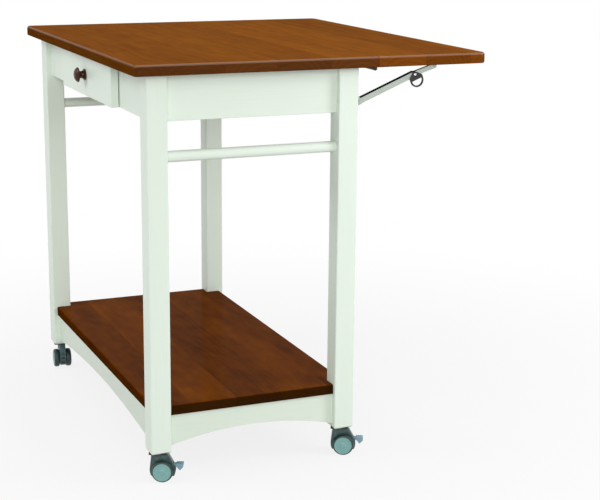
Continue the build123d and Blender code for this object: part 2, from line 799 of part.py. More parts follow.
def brake_lever():
    """Foot pedal on a short arm, pivoted in the hood's pocket."""
    top = wheel_radius + brake_pedal_top
    start, stop = caster_trail + brake_pedal_start, caster_trail + brake_pedal_end
    boss = Pos(*brake_pivot) * Circle(brake_boss_radius)
    root = Polyline((start + sink, top), (start + sink, top - brake_arm_height))
    arm = make_hull(boss.edges() + root.edges())
    arm -= Pos(*brake_pivot) * Circle(brake_pivot_radius + running_gap)
    lever = xz_sheet(arm, brake_pocket_width / 2 - brake_side_gap)
    pedal = make_face(Polyline((start, top), (stop, top),
                               (stop - brake_pedal_lean, top - brake_pedal_depth / 2),
                               ((start + stop) / 2, top - brake_pedal_depth),
                               (start, top - brake_arm_height), close=True))
    pedal = fillet(pedal.vertices(), brake_pedal_corner)
    paddle = xz_sheet(pedal, brake_pedal_width / 2)
    return lever + paddle


def place_caster(shape, place):
    """Turn a caster piece to its heading and set it under its leg."""
    side, end = place.split("_")
    return Pos(x_side[end] * x_leg, y_leg[side]) * Rot(0, 0, caster_heading[place]) * shape


os.makedirs("parts", exist_ok=True)

save("main_top", worktop())
save("drop_leaf", drop_leaf())

for side in y_side:
    for end in x_side:
        save(f"leg_{side}_{end}", leg(end, side))

save("front_apron", Pos(0, y_leg["front"]) * front_apron())
save("back_apron", Pos(0, y_leg["back"]) * apron(front_length()))
for end in x_side:
    save(f"{end}_apron", Pos(x_side[end] * x_leg, y_middle()) * along_y(apron(side_length())))
    save(f"{end}_rail", Pos(x_side[end] * x_leg, y_middle()) * along_y(arched_rail(side_length())))
    save(f"{end}_towel_bar", towel_bar(end))
for side in y_side:
    save(f"{side}_rail", Pos(0, y_leg[side]) * arched_rail(front_length()))
save("shelf", shelf())
save("corner_blocks", [corner_block(end, side) for end in x_side for side in y_side])

save("drawer_front", drawer_front())
for end in x_side:
    save(f"drawer_side_{end}", drawer_side(end))
save("drawer_back", drawer_back())
save("drawer_bottom", drawer_bottom())
save("drawer_knob", drawer_knob())
save("knob_screw", knob_screw())
save("drawer_supports", [drawer_support(end) for end in x_side])
save("slide_channels", [slide_channel(end) for end in x_side])
save("slide_runners", [slide_runner(end) for end in x_side])

save("top_hinge_plates", [top_hinge_plate(x) for x in hinge_places()])
save("leaf_hinge_plates", [leaf_hinge_plate(x) for x in hinge_places()])
save("hinge_pins", [hinge_pin(x) for x in hinge_places()])

save("bracket_bases", [bracket_base(end) for end in x_side])
save("base_pivots", [base_pivot(end) for end in x_side])
save("bracket_feet", [bracket_foot(end) for end in x_side])
save("foot_pivots", [foot_pivot(end) for end in x_side])
for end in x_side:
    save(f"lower_arm_{end}", lower_arm(end))
    save(f"upper_arm_{end}", upper_arm(end))
    save(f"arm_pull_{end}", arm_pull(end))

save("caster_plates", [place_caster(caster_plate(), place) for place in caster_heading])
for place in caster_heading:
    save(f"caster_hood_{place}", place_caster(caster_hood(place in braked_casters), place))
    save(f"caster_axle_{place}", place_caster(caster_axle(), place))
    for wheel_side in ("inner", "outer"):
        save(f"caster_wheel_{place}_{wheel_side}", place_caster(caster_wheel(wheel_side), place))
for place in braked_casters:
    save(f"brake_lever_{place}", place_caster(brake_lever(), place))
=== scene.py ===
import json
import math

import bmesh
import bpy
from mathutils import Matrix, Vector


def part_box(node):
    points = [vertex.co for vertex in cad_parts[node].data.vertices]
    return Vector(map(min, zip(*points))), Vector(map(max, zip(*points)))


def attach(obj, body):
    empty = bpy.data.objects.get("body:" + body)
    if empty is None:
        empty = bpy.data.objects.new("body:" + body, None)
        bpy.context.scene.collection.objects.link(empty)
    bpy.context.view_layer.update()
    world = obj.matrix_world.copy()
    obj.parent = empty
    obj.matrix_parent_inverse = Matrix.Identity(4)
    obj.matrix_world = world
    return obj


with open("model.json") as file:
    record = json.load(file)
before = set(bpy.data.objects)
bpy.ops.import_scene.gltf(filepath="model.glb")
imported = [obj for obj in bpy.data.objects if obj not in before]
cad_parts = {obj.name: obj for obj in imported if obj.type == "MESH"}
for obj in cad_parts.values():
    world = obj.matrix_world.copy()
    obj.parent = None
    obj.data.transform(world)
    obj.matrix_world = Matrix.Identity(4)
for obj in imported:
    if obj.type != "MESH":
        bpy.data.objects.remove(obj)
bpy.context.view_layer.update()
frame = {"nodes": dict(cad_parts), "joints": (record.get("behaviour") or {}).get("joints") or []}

# Legs, aprons, rails and towel bars: sawn hardwood posts and boards, tenoned and glued together,
# then sprayed with a satin cream-white paint that lets a little of the grain telegraph through.
# The towel bars are turned dowels let into the legs, and the rails are given darker paint as
# painted shade.
millimetre = 0.001
nodes = frame["nodes"]
paint_white = (0.795, 0.885, 0.785, 1.0)
paint_shade = (0.735, 0.840, 0.725, 1.0)
# Painted shade: the rails' paint is darker than the legs' and aprons' only to stand in for the
# shade they get.
rail_paint_with_painted_shade = {"Paint": (0.745, 0.830, 0.720, 1.0), "Shade": (0.690, 0.785, 0.665, 1.0)}


def add_node(tree, kind, values=None, **settings):
    """One shader node with its settings and the plain values of its inputs."""
    node = tree.nodes.new(kind)
    for key, value in settings.items():
        setattr(node, key, value)
    for key, value in (values or {}).items():
        node.inputs[key].default_value = value
    return node


def feed(tree, value, socket):
    """Lead another socket into an input, or set it to a plain value."""
    if isinstance(value, bpy.types.NodeSocket):
        tree.links.new(value, socket)
    else:
        socket.default_value = value


def maths(tree, operation, *values):
    """One sum on sockets or plain numbers."""
    node = add_node(tree, "ShaderNodeMath", operation=operation)
    for value, socket in zip(values, node.inputs):
        feed(tree, value, socket)
    return node.outputs[0]


def vector_maths(tree, operation, first, second):
    """One sum on vectors or colours, where the second value of a SCALE is a number."""
    node = add_node(tree, "ShaderNodeVectorMath", operation=operation)
    feed(tree, first, node.inputs[0])
    feed(tree, second, node.inputs["Scale" if operation == "SCALE" else 1])
    return node.outputs[0]


def weighted_sum(tree, *parts):
    """Sum of values, each times its weight."""
    products = [maths(tree, "MULTIPLY", value, weight) for value, weight in parts]
    total = products[0]
    for product in products[1:]:
        total = maths(tree, "ADD", total, product)
    return total


def swing(tree, value, weight):
    """How far a value lies from one half, times a weight."""
    return maths(tree, "MULTIPLY", maths(tree, "SUBTRACT", value, 0.5), weight)


def blend_colours(tree, amount, first, second):
    """Mix of two colours by an amount."""
    node = add_node(tree, "ShaderNodeMix", data_type="RGBA")
    sockets = {socket.identifier: socket for socket in (*node.inputs, *node.outputs)}
    feed(tree, amount, sockets["Factor_Float"])
    feed(tree, first, sockets["A_Color"])
    feed(tree, second, sockets["B_Color"])
    return sockets["Result_Color"]


def between(tree, value, low, high):
    """Smooth step of a value from 0 at low to 1 at high."""
    node = add_node(tree, "ShaderNodeMapRange", {"From Min": low, "From Max": high},
                    interpolation_type="SMOOTHSTEP")
    tree.links.new(value, node.inputs["Value"])
    return node.outputs["Result"]


def stretched_noise(tree, place, stretch, detail, offset=None, roughness=0.55):
    """Noise whose coordinates are stretched along each axis, in cycles per metre."""
    source = vector_maths(tree, "MULTIPLY", place, stretch)
    if offset is not None:
        source = vector_maths(tree, "ADD", source, offset)
    noise = add_node(tree, "ShaderNodeTexNoise",
                     {"Scale": 1.0, "Detail": detail, "Roughness": roughness})
    tree.links.new(source, noise.inputs["Vector"])
    return noise.outputs[0]


vector_socket = "NodeSocketVector"
colour_socket = "NodeSocketColor"
number_socket = "NodeSocketFloat"
finish_outputs = (("Colour", colour_socket), ("Roughness", number_socket),
                  ("Height", number_socket))


def new_group(name, inputs, outputs):
    """Empty shader node group with named sockets."""
    group = bpy.data.node_groups.new(name, "ShaderNodeTree")
    for socket_name, kind, value in inputs:
        socket = group.interface.new_socket(name=socket_name, in_out="INPUT", socket_type=kind)
        if value is not None:
            socket.default_value = value
    for socket_name, kind in outputs:
        group.interface.new_socket(name=socket_name, in_out="OUTPUT", socket_type=kind)
    given = group.nodes.new("NodeGroupInput").outputs
    return group, given, group.nodes.new("NodeGroupOutput").inputs


def paint_effect():
    """Sprayed paint on wood: faint clouding, grain that shows through along X, and fine stipple."""
    group, given, out = new_group("satin_paint", (
        ("Place", vector_socket, None), ("Paint", colour_socket, paint_white),
        ("Shade", colour_socket, paint_shade), ("Roughness", number_socket, 0.36)), finish_outputs)
    cloud = stretched_noise(group, given["Place"], stretch=(2.2, 5.0, 5.0), detail=3)
    grain = stretched_noise(group, given["Place"], stretch=(9.0, 330.0, 330.0), detail=4)
    stipple = stretched_noise(group, given["Place"], stretch=(1500.0, 1500.0, 1500.0), detail=1)
    clouded = between(group, cloud, low=0.35, high=0.7)
    grained = between(group, grain, low=0.45, high=0.75)
    amount = weighted_sum(group, (clouded, 0.55), (grained, 0.35))
    group.links.new(blend_colours(group, amount, given["Paint"], given["Shade"]), out["Colour"])
    rough = swing(group, cloud, weight=0.16)
    group.links.new(maths(group, "ADD", given["Roughness"], rough), out["Roughness"])
    group.links.new(weighted_sum(group, (grain, 0.6), (stipple, 0.4)), out["Height"])
    return group


satin_paint = paint_effect()
along_x, along_y, along_z = (0.0, 0.0, 0.0), (0.0, 0.0, 90.0), (0.0, 90.0, 0.0)


def shaded_material(name, effect, finish, turn=along_x, centre=(0.0, 0.0, 0.0), bump=0.1,
                    fixed=None):
    """Material from one effect group. The grain runs along X after the turn, given in degrees."""
    relief_depth = 0.5 * millimetre
    angles = tuple(math.radians(value) for value in turn)
    material = bpy.data.materials.new(name)
    material.use_nodes = True
    tree = material.node_tree
    shader = tree.nodes["Principled BSDF"]
    where = add_node(tree, "ShaderNodeTexCoord")
    placed = add_node(tree, "ShaderNodeMapping", {"Location": tuple(-value for value in centre)})
    turned = add_node(tree, "ShaderNodeMapping", {"Rotation": angles})
    tree.links.new(where.outputs["Object"], placed.inputs["Vector"])
    tree.links.new(placed.outputs[0], turned.inputs["Vector"])
    look = add_node(tree, "ShaderNodeGroup", finish, node_tree=effect)
    tree.links.new(turned.outputs[0], look.inputs["Place"])
    if "Facing" in look.inputs:
        facing = add_node(tree, "ShaderNodeMapping", {"Rotation": angles})
        tree.links.new(where.outputs["Normal"], facing.inputs["Vector"])
        tree.links.new(facing.outputs[0], look.inputs["Facing"])
    relief = add_node(tree, "ShaderNodeBump", {"Strength": bump, "Distance": relief_depth})
    tree.links.new(look.outputs["Height"], relief.inputs["Height"])
    tree.links.new(look.outputs["Colour"], shader.inputs["Base Color"])
    tree.links.new(look.outputs["Roughness"], shader.inputs["Roughness"])
    tree.links.new(relief.outputs["Normal"], shader.inputs["Normal"])
    if "Coat" in finish:
        tree.links.new(look.outputs["Coat"], shader.inputs["Coat Weight"])
    for key, value in (fixed or {}).items():
        shader.inputs[key].default_value = value
    return material


def dress(node, material):
    """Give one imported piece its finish."""
    nodes[node].data.materials.clear()
    nodes[node].data.materials.append(material)


paint_long = shaded_material("paint_on_long_boards", satin_paint, {}, turn=along_x)
paint_cross = shaded_material("paint_on_end_boards", satin_paint, {}, turn=along_y)
paint_upright = shaded_material("paint_on_legs", satin_paint, {}, turn=along_z)
shaded_paint_long_rails = shaded_material("paint_on_long_rails_with_painted_shade", satin_paint, rail_paint_with_painted_shade, turn=along_x)
shaded_paint_end_rails = shaded_material("paint_on_end_rails_with_painted_shade", satin_paint, rail_paint_with_painted_shade, turn=along_y)
for side in ("front", "back"):
    dress(f"{side}_apron", paint_long)
    dress(f"{side}_rail", shaded_paint_long_rails)
    for end in ("left", "right"):
        dress(f"leg_{side}_{end}", paint_upright)
for end in ("left", "right"):
    dress(f"{end}_apron", paint_cross)
    dress(f"{end}_rail", shaded_paint_end_rails)
    dress(f"{end}_towel_bar", paint_cross)

# Corner blocks: sawn pale hardwood, planed and left bare, glued and screwed across the corners
# of the apron frame out of sight. Each shows two plated pan-head screws on its long face.
bare_wood = {"Pale": (0.62, 0.43, 0.25, 1.0), "Deep": (0.45, 0.28, 0.14, 1.0),
             "End": (0.40, 0.25, 0.13, 1.0), "Boards": 4.0, "Ring Gap": 0.007, "Figure": 0.55,
             "Seam": 0.0, "Roughness": 0.62}
groove_dark = (0.02, 0.008, 0.003, 1.0)
# Pale colour of the painted highlight along the rounded end edges of stained boards.
edge_highlight_colour = (0.42, 0.27, 0.20, 1.0)


def split(tree, kind, source):
    """Outputs of a node that takes a vector or a colour apart."""
    node = add_node(tree, kind)
    tree.links.new(source, node.inputs[0])
    return node.outputs


def wood_effect():
    """Boards glued edge to edge along X: tone by board, year rings, streaks, blotches, pores, seams
    and end grain, with painted shade on the sides, a painted highlight on the rounded edges at the
    ends and a mask for the clear coat."""
    group, given, out = new_group("board_wood", (
        ("Place", vector_socket, None), ("Facing", vector_socket, None),
        ("Pale", colour_socket, None), ("Deep", colour_socket, None), ("End", colour_socket, None),
        ("Boards", number_socket, 10.0), ("Ring Gap", number_socket, 0.01),
        ("Figure", number_socket, 0.5), ("Streak", number_socket, 0.9),
        ("Blotch", number_socket, 0.0), ("Side", number_socket, 1.0), ("Seam", number_socket, 1.0),
        ("Roughness", number_socket, 0.3), ("Coat", number_socket, 0.0),
        ("Edge Coat", number_socket, 0.0), ("Edge Highlight", number_socket, 0.0)),
        finish_outputs + (("Coat", number_socket),))
    place = split(group, "ShaderNodeSeparateXYZ", given["Place"])
    facing = split(group, "ShaderNodeSeparateXYZ", given["Facing"])
    upward = facing["Z"]
    endways = maths(group, "ABSOLUTE", facing["X"])

    # Boards of uneven width. Each has its own chance numbers, which also move its pattern.
    first_board, uneven_width, pattern_jump = 0.37, 0.45, 23.0
    across = maths(group, "MULTIPLY", place["Y"], given["Boards"])
    across = maths(group, "ADD", across, first_board)
    board, seam = [add_node(group, "ShaderNodeTexVoronoi",
                            {"Scale": 1.0, "Randomness": uneven_width},
                            voronoi_dimensions="1D", feature=feature)
                   for feature in ("F1", "DISTANCE_TO_EDGE")]
    for strips in (board, seam):
        group.links.new(across, strips.inputs["W"])
    chances = board.outputs["Color"]
    tone_chance, aside_chance, depth_chance = split(group, "ShaderNodeSeparateColor", chances)
    jump = vector_maths(group, "SCALE", chances, pattern_jump)
    board_middle = maths(group, "SUBTRACT", board.outputs["W"], first_board)
    board_middle = maths(group, "DIVIDE", board_middle, given["Boards"])

    def board_noise(stretch, detail, roughness=0.55):
        """Noise that starts afresh on each board."""
        return stretched_noise(group, given["Place"], stretch, detail, jump, roughness)

    # Year rings round a heart that lies under the board and to one side, and wanders along it.
    heart_aside, heart_depth, heart_least, ring_wander = 0.07, 0.06, 0.02, 0.055
    from_y = maths(group, "SUBTRACT", place["Y"], board_middle)
    from_y = maths(group, "ADD", from_y, swing(group, aside_chance, heart_aside))
    heart_under = maths(group, "MULTIPLY", depth_chance, heart_depth)
    heart_under = maths(group, "ADD", heart_under, heart_least)
    from_z = maths(group, "ADD", place["Z"], heart_under)
    radius = maths(group, "SQRT", weighted_sum(group, (from_y, from_y), (from_z, from_z)))
    wander = maths(group, "MULTIPLY", board_noise(stretch=(1.7, 6.0, 6.0), detail=3), ring_wander)
    rings_out = maths(group, "DIVIDE", maths(group, "ADD", radius, wander), given["Ring Gap"])
    wave = maths(group, "SINE", maths(group, "MULTIPLY", rings_out, 2 * math.pi))
    ring = maths(group, "MULTIPLY", maths(group, "ADD", wave, 1.0), 0.5)

    # Flat faces: each part of the figure moves the tone about the middle of deep and pale.
    board_swing, ring_swing, cloud_swing, middle_tone = 0.34, 0.7, 0.7, 0.5
    streak = board_noise(stretch=(11.0, 380.0, 380.0), detail=5, roughness=0.65)
    blotch = board_noise(stretch=(18.0, 36.0, 36.0), detail=2, roughness=0.5)
    cloud = board_noise(stretch=(4.0, 14.0, 14.0), detail=2)
    tone = swing(group, tone_chance, board_swing)
    for part, weight in ((ring, maths(group, "MULTIPLY", given["Figure"], ring_swing)),
                         (streak, given["Streak"]), (blotch, given["Blotch"]),
                         (cloud, cloud_swing)):
        tone = maths(group, "ADD", tone, swing(group, part, weight))
    tone = maths(group, "ADD", tone, middle_tone)
    face = blend_colours(group, tone, given["Deep"], given["Pale"])

    # Sides painted darker than the upper face as painted shade, and end grain where a face looks
    # along the boards.
    upper_lean, end_lean = (0.25, 0.85), (0.45, 0.85)
    end_streak = board_noise(stretch=(60.0, 14.0, 520.0), detail=4)
    end_least, end_board_least, end_board_range = 0.55, 0.88, 0.25
    # Painted shade: faces that lean away from up are darkened by the side factor.
    upper_unshaded_share = maths(group, "SUBTRACT", 1.0, given["Side"])
    upper_unshaded_share = maths(group, "MULTIPLY", between(group, upward, *upper_lean), upper_unshaded_share)
    face = vector_maths(group, "SCALE", face, maths(group, "ADD", given["Side"], upper_unshaded_share))
    end_figure = weighted_sum(group, (ring, 0.12), (end_streak, 0.7))
    end_figure = maths(group, "ADD", end_figure, end_least)
    end_board = maths(group, "MULTIPLY", tone_chance, end_board_range)
    end_board = maths(group, "ADD", end_board, end_board_least)
    end_shade = maths(group, "MULTIPLY", end_figure, end_board)
    end_grain = vector_maths(group, "SCALE", given["End"], end_shade)
    colour = blend_colours(group, between(group, endways, *end_lean), face, end_grain)

    # Open pores and the seams between boards, as fine dark grooves.
    pore_noise, seam_width = (0.60, 0.70), (0.1 * millimetre, 0.7 * millimetre)
    pore = board_noise(stretch=(55.0, 1500.0, 1500.0), detail=1)
    pore = between(group, pore, *pore_noise)
    from_seam = maths(group, "DIVIDE", seam.outputs["Distance"], given["Boards"])
    line = maths(group, "SUBTRACT", 1.0, between(group, from_seam, *seam_width))
    line = maths(group, "MULTIPLY", line, given["Seam"])
    grooves = weighted_sum(group, (pore, 0.16), (line, 0.35))
    colour = blend_colours(group, grooves, colour, groove_dark)

    # Rounded upper edges: a paler painted highlight at the ends, with their own share of the clear
    # coat.
    edge_begins, edge_is_over = (0.10, 0.45), (0.85, 0.97)
    end_edge_lean, level_lean = (0.25, 0.55), (0.75, 0.97)
    rounded = maths(group, "SUBTRACT", 1.0, between(group, upward, *edge_is_over))
    rounded = maths(group, "MULTIPLY", between(group, upward, *edge_begins), rounded)
    # Painted highlight: the rounded edges at the ends are blended toward a pale colour.
    wear_and_highlight = maths(group, "MULTIPLY", rounded, given["Edge Highlight"])
    wear_and_highlight = maths(group, "MULTIPLY", wear_and_highlight, between(group, endways, *end_edge_lean))
    group.links.new(blend_colours(group, wear_and_highlight, colour, edge_highlight_colour), out["Colour"])
    coat_above = maths(group, "MULTIPLY", between(group, upward, *level_lean), given["Coat"])
    coat_at_edge = maths(group, "MULTIPLY", rounded, given["Edge Coat"])
    group.links.new(maths(group, "MAXIMUM", coat_above, coat_at_edge), out["Coat"])

    # Roughness follows the streaks and pores, and pores and seams are sunk into the relief.
    rough = swing(group, streak, weight=0.14)
    rough = maths(group, "ADD", rough, maths(group, "MULTIPLY", pore, 0.08))
    group.links.new(maths(group, "ADD", given["Roughness"], rough), out["Roughness"])
    height = weighted_sum(group, (streak, 0.5), (pore, -0.5), (line, -0.8))
    group.links.new(height, out["Height"])
    return group


board_wood = wood_effect()
dress("corner_blocks", shaded_material("bare_corner_blocks", board_wood, bare_wood, turn=along_y,
                                       centre=(0.0, 0.0, 0.85), bump=0.25))

zinc_finish = {"Bright": (0.54, 0.60, 0.53, 1.0), "Dull": (0.36, 0.41, 0.36, 1.0),
               "Roughness": 0.34}


def plated_effect():
    """Plated sheet steel: drawn lines along X, soft cloudy spangle and a few dull smears."""
    group, given, out = new_group("plated_steel", (
        ("Place", vector_socket, None), ("Bright", colour_socket, None),
        ("Dull", colour_socket, None), ("Roughness", number_socket, 0.35)), finish_outputs)
    drawn = stretched_noise(group, given["Place"], stretch=(35.0, 1600.0, 1600.0), detail=2)
    smear = stretched_noise(group, given["Place"], stretch=(45.0, 60.0, 60.0), detail=3)
    smear = between(group, smear, low=0.4, high=0.7)
    crystal = add_node(group, "ShaderNodeTexVoronoi", {"Scale": 260.0, "Randomness": 1.0},
                       feature="F1")
    group.links.new(given["Place"], crystal.inputs["Vector"])
    spangle = split(group, "ShaderNodeSeparateColor", crystal.outputs["Color"])[0]
    amount = weighted_sum(group, (drawn, 0.4), (smear, 0.45), (spangle, 0.2))
    group.links.new(blend_colours(group, amount, given["Bright"], given["Dull"]), out["Colour"])
    rough = swing(group, amount, weight=0.25)
    group.links.new(maths(group, "ADD", given["Roughness"], rough), out["Roughness"])
    group.links.new(drawn, out["Height"])
    return group


plated_steel = plated_effect()
zinc = shaded_material("zinc_plate", plated_steel, zinc_finish, bump=0.06, fixed={"Metallic": 1.0})


def skin(mesh, lower, upper):
    """Faces between two rings of as many corners."""
    for step in range(len(lower)):
        after = (step + 1) % len(lower)
        mesh.faces.new((lower[step], lower[after], upper[after], upper[step]))


def turned_head(mesh, point, outward, profile, segments):
    """Round head, open on top, from radii and levels over a face. Gives its place and top ring."""
    turned = Vector(outward).to_track_quat("Z", "Y").to_matrix().to_4x4()
    place = Matrix.Translation(point) @ turned
    angles = [2 * math.pi * step / segments for step in range(segments)]
    rings = []
    for radius, level in profile:
        spots = [Vector((radius * math.cos(angle), radius * math.sin(angle), level))
                 for angle in angles]
        rings.append([mesh.verts.new(place @ spot) for spot in spots])
    for lower, upper in zip(rings, rings[1:]):
        skin(mesh, lower, upper)
    mesh.faces.new(rings[0][::-1])
    return place, rings[-1]


def screw_head(mesh, point, outward, radius, height, sunk):
    """Head of one cross-recess screw: a domed or a flush cap with a cross cut into it."""
    segments = 20
    domed = ((1.0, 0.0), (1.0, 0.35), (0.9, 0.72), (0.68, 1.0))
    flush = ((1.0, 0.0), (0.96, 0.22), (0.72, 0.30))
    recess_depth = Vector((0, 0, 0.75 * height))
    reach, half = 0.52 * radius, 0.13 * radius
    profile = [(wide * radius, level * height) for wide, level in (flush if sunk else domed)]
    place, rim = turned_head(mesh, point, outward, profile, segments)
    top = profile[-1][1]
    corners = []
    for quarter in range(4):
        spin = Matrix.Rotation(quarter * math.pi / 2, 4, "Z")
        corners += [spin @ Vector((x, y, top))
                    for x, y in ((reach, -half), (reach, half), (half, half))]
    upper = [mesh.verts.new(place @ corner) for corner in corners]
    lower = [mesh.verts.new(place @ (corner - recess_depth)) for corner in corners]
    edges = []
    for loop in (rim, upper):
        edges += [mesh.edges.get(ends) or mesh.edges.new(ends)
                  for ends in zip(loop, loop[1:] + loop[:1])]
    bmesh.ops.triangle_fill(mesh, edges=edges, use_beauty=True)
    skin(mesh, upper, lower)
    mesh.faces.new(lower)


def add_piece(name, mesh, body, material, smooth=True):
    """Turn a built mesh into a piece that rides on a body."""
    sharp_angle = math.radians(35)
    bmesh.ops.recalc_face_normals(mesh, faces=mesh.faces)
    data = bpy.data.meshes.new(name)
    mesh.to_mesh(data)
    mesh.free()
    piece = bpy.data.objects.new(name, data)
    bpy.context.scene.collection.objects.link(piece)
    data.materials.append(material)
    if smooth:
        data.shade_smooth()
        data.set_sharp_from_angle(angle=sharp_angle)
    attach(piece, body)


def add_screws(name, places, head, body, material=zinc, sunk=False):
    """All the like screws of one fitting as one piece. A head is its radius and height."""
    mesh = bmesh.new()
    for point, outward in places:
        screw_head(mesh, Vector(point), outward, *head, sunk)
    add_piece(name, mesh, body, material)


block_head = (4.2 * millimetre, 2.4 * millimetre)
block_leg = 53.5 * millimetre
block_screw_step = 11.0 * millimetre
block_low, block_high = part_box("corner_blocks")
block_middle = (block_low.z + block_high.z) / 2
block_screws = []
for sign_x, x in ((-1, block_low.x), (1, block_high.x)):
    for sign_y, y in ((-1, block_low.y), (1, block_high.y)):
        inward = Vector((-sign_x, -sign_y, 0)).normalized()
        face_middle = Vector((x, y, block_middle)) + inward * (block_leg / math.sqrt(2))
        for rise in (-block_screw_step, block_screw_step):
            block_screws.append((face_middle + Vector((0, 0, rise)), inward))
add_screws("corner_block_screws", block_screws, block_head, "frame")

# Shelf: strips of hardwood glued into one board along the cart, stained brown and thinly clear
# coated on its upper face. It is notched round the four legs and rests on the rails.
shelf_finish = {"Pale": (0.215, 0.055, 0.001, 1.0), "Deep": (0.060, 0.013, 0.001, 1.0),
                "End": (0.034, 0.011, 0.002, 1.0), "Boards": 9.0, "Ring Gap": 0.011, "Figure": 0.10,
                "Streak": 0.35, "Blotch": 0.65, "Side": 0.55, "Seam": 0.4, "Roughness": 0.42,
                "Coat": 0.05}
shelf_lacquer = {"Coat Roughness": 0.15, "Specular IOR Level": 0.0}
dress("shelf", shaded_material("stained_shelf", board_wood, shelf_finish, centre=(0.0, 1.23, 0.16),
                               bump=0.12, fixed=shelf_lacquer))

# Drawer slides: pairs of channels folded from zinc-plated sheet, sliding one in the other. One is
# screwed to the drawer's side and one to a bare support board that runs from apron to apron.
slide_sheet = 1.5 * millimetre
channel_head = (3.6 * millimetre, 1.2 * millimetre)
zinc_along = shaded_material("zinc_slides", plated_steel, zinc_finish, turn=along_y, bump=0.06,
                             fixed={"Metallic": 1.0})
dress("drawer_supports", shaded_material("bare_drawer_supports", board_wood, bare_wood,
                                         turn=along_y, centre=(0.0, 0.0, 0.85), bump=0.25))
dress("slide_channels", zinc_along)
dress("slide_runners", zinc_along)
channel_low, channel_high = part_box("slide_channels")
channel_middle = (channel_low.z + channel_high.z) / 2
channel_web = channel_high.x - slide_sheet
channel_length = channel_high.y - channel_low.y
channel_rows = [channel_low.y + share * channel_length for share in (0.08, 0.5, 0.92)]
channel_screws = [((sign * channel_web, y, channel_middle), (-sign, 0, 0))
                  for sign in (-1, 1) for y in channel_rows]
add_screws("channel_screws", channel_screws, channel_head, "frame", sunk=True)

# Drawer: an overlay front painted like the frame, on a box of thin bare boards with a plywood
# bottom let into grooves. The boards are grooved, glued and pinned.
box_wood = dict(bare_wood, Boards=6.0)
ply = dict(bare_wood, Pale=(0.70, 0.53, 0.34, 1.0), Deep=(0.58, 0.41, 0.24, 1.0), Boards=2.5)
dress("drawer_front", paint_long)
for end in ("left", "right"):
    dress(f"drawer_side_{end}", shaded_material(f"bare_drawer_side_{end}", board_wood, box_wood,
                                                turn=along_y, centre=(0.0, 0.0, 0.84), bump=0.2))
dress("drawer_back", shaded_material("bare_drawer_back", board_wood, box_wood,
                                     centre=(0.0, 0.03, 0.84), bump=0.2))
dress("drawer_bottom", shaded_material("plywood_bottom", board_wood, ply, turn=along_y,
                                       centre=(0.0, 0.0, 0.80), bump=0.15))

# Drawer knob: a mushroom turned from hardwood, stained very dark and polished, held by one
# plated screw from inside the drawer.
knob_finish = {"Pale": (0.062, 0.012, 0.002, 1.0), "Deep": (0.020, 0.004, 0.001, 1.0),
               "End": (0.048, 0.010, 0.002, 1.0), "Boards": 2.0, "Ring Gap": 0.004, "Figure": 0.7,
               "Seam": 0.0, "Roughness": 0.30}
knob_polish = {"Coat Weight": 0.22, "Coat Roughness": 0.10, "Specular IOR Level": 0.12}
dress("drawer_knob", shaded_material("polished_knob", board_wood, knob_finish, turn=along_y,
                                     centre=(0.0, -0.39, 0.82), bump=0.1, fixed=knob_polish))
dress("knob_screw", zinc)

# Worktop and drop leaf: strips of hardwood glued into boards along the cart, stained brown and
# # clear coated to a satin sheen. Their edges are rounded over and the ends show end grain. The
# # rounded edges at the ends carry a paler painted highlight.
top_finish = {"Pale": (0.268, 0.085, 0.007, 1.0), "Deep": (0.156, 0.045, 0.005, 1.0),
              "End": (0.108, 0.034, 0.008, 1.0), "Boards": 8.6, "Ring Gap": 0.012, "Figure": 0.25,
              "Streak": 0.55, "Blotch": 0.60, "Side": 0.58, "Seam": 0.4, "Roughness": 0.40,
              "Coat": 0.012, "Edge Coat": 0.30, "Edge Highlight": 0.28}
leaf_finish = dict(top_finish, End=(0.172, 0.048, 0.005, 1.0))
top_lacquer = {"Coat Roughness": 0.12, "Specular IOR Level": 0.0}
for node, name, finish in (("main_top", "stained_worktop", top_finish),
                           ("drop_leaf", "stained_leaf", leaf_finish)):
    dress(node, shaded_material(name, board_wood, finish, centre=(0.0, -0.13, 0.90), bump=0.12,
                                fixed=top_lacquer))

# Leaf hinges: three butt hinges of dark bronzed steel under the joint, with rolled knuckles round
# a pin. Each plate is held by three flush cross-recess screws.
bronze_finish = {"Bright": (0.085, 0.062, 0.040, 1.0), "Dull": (0.035, 0.027, 0.019, 1.0),
                 "Roughness": 0.38}
hinge_half, hinge_sheet = 24.0 * millimetre, 2.0 * millimetre
hinge_head = (3.6 * millimetre, 1.0 * millimetre)
outer_step, outer_row, middle_row = 16.0 * millimetre, 21.0 * millimetre, 13.0 * millimetre
bronze = shaded_material("bronzed_hinges", plated_steel, bronze_finish, bump=0.08,
                         fixed={"Metallic": 0.85})
for node in ("top_hinge_plates", "leaf_hinge_plates", "hinge_pins"):
    dress(node, bronze)
pin_low, pin_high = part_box("hinge_pins")
hinge_line = (pin_low.y + pin_high.y) / 2
hinge_middles = (pin_low.x + hinge_half, 0.0, pin_high.x - hinge_half)
hinge_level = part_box("top_hinge_plates")[1].z - hinge_sheet
hinge_pattern = ((-outer_step, outer_row), (0.0, middle_row), (outer_step, outer_row))
for sign, name, body in ((-1, "top_hinge_screws", "frame"), (1, "leaf_hinge_screws", "leaf")):
    places = [((x + step, hinge_line + sign * row, hinge_level), (0, 0, -1))
              for x in hinge_middles for step, row in hinge_pattern]
    add_screws(name, places, hinge_head, body, material=bronze, sunk=True)

# Folding brackets: zinc-plated channel arms that hold the leaf up, their insides made nearly black
# # as painted shade. A base with two ears is screwed to the back leg and a foot to the leaf, and
# the
# # arms turn on riveted pins.
# Nearly black painted shade for the inside of the channel arms.
inner_painted_shade = (0.016, 0.018, 0.016, 1.0)
arm_plane = 426.0 * millimetre
lower_half_width, upper_half_width = 7.5 * millimetre, 4.5 * millimetre
bracket_sheet = 2.0 * millimetre
base_head, base_inset = (4.2 * millimetre, 1.8 * millimetre), 6.0 * millimetre
foot_head, foot_step = (3.6 * millimetre, 1.0 * millimetre), 16.0 * millimetre


